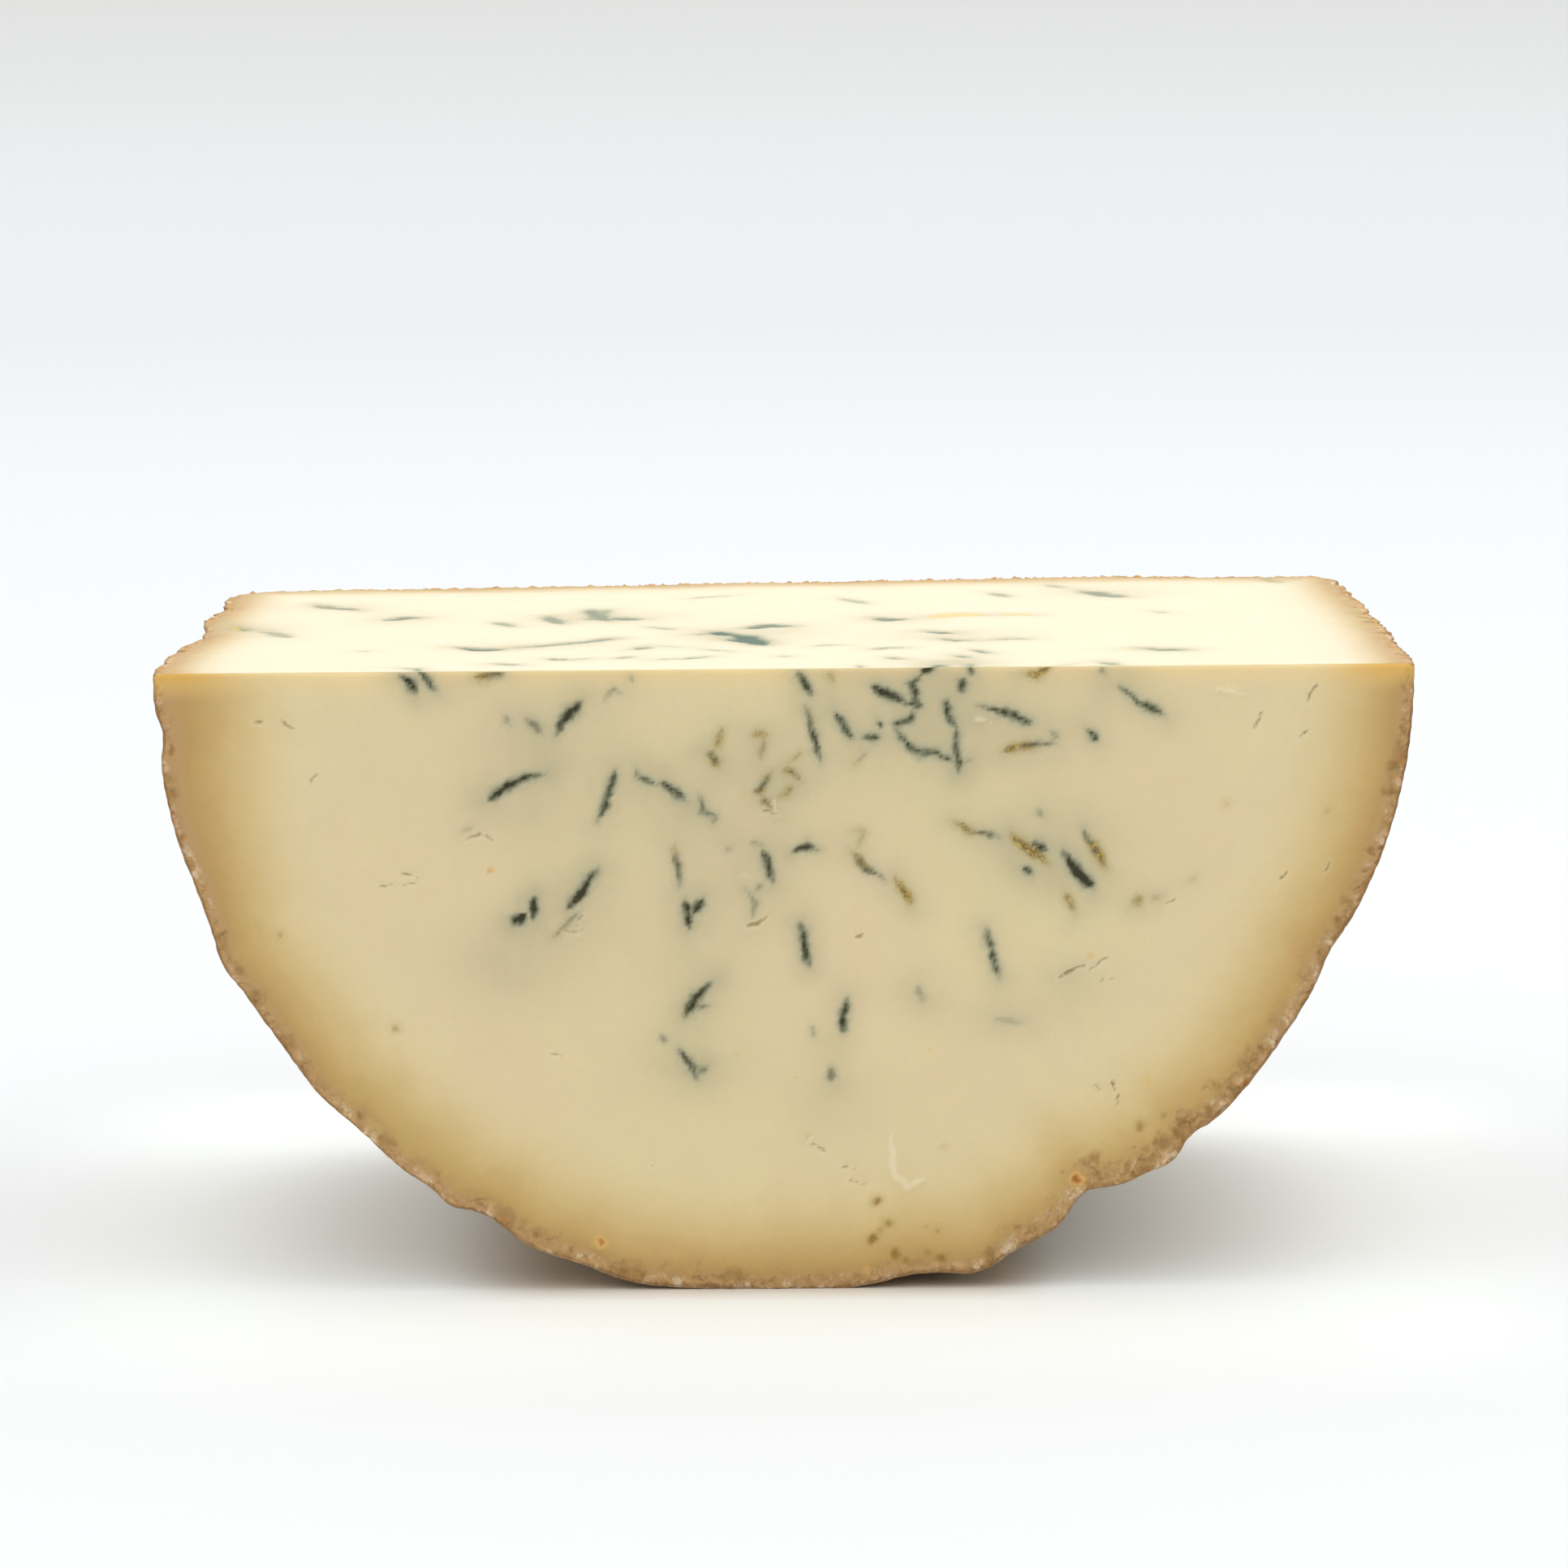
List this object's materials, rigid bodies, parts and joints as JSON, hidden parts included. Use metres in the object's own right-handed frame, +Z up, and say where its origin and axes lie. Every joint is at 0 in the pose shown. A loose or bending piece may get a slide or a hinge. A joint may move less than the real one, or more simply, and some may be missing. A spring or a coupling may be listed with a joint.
{
  "type": "half wheel of blue cheese",
  "caption": "Half-round cut piece of a blue-veined cheese wheel with a natural rind, standing on its curved side with the long cut face up.",
  "frame": {"origin": "On the flat foot, at the middle of the base of the piece's bounding box", "axes": "+X along the edge where the two cut faces meet, +Y from the front cut face back to the rind end of the wheel, +Z up"},
  "size_m": [0.2009, 0.12, 0.1012],
  "materials": {
    "ripened_cheese": null
  },
  "bodies": {
    "root": {"half_wheel": "ripened_cheese"}
  },
  "joints": []
}
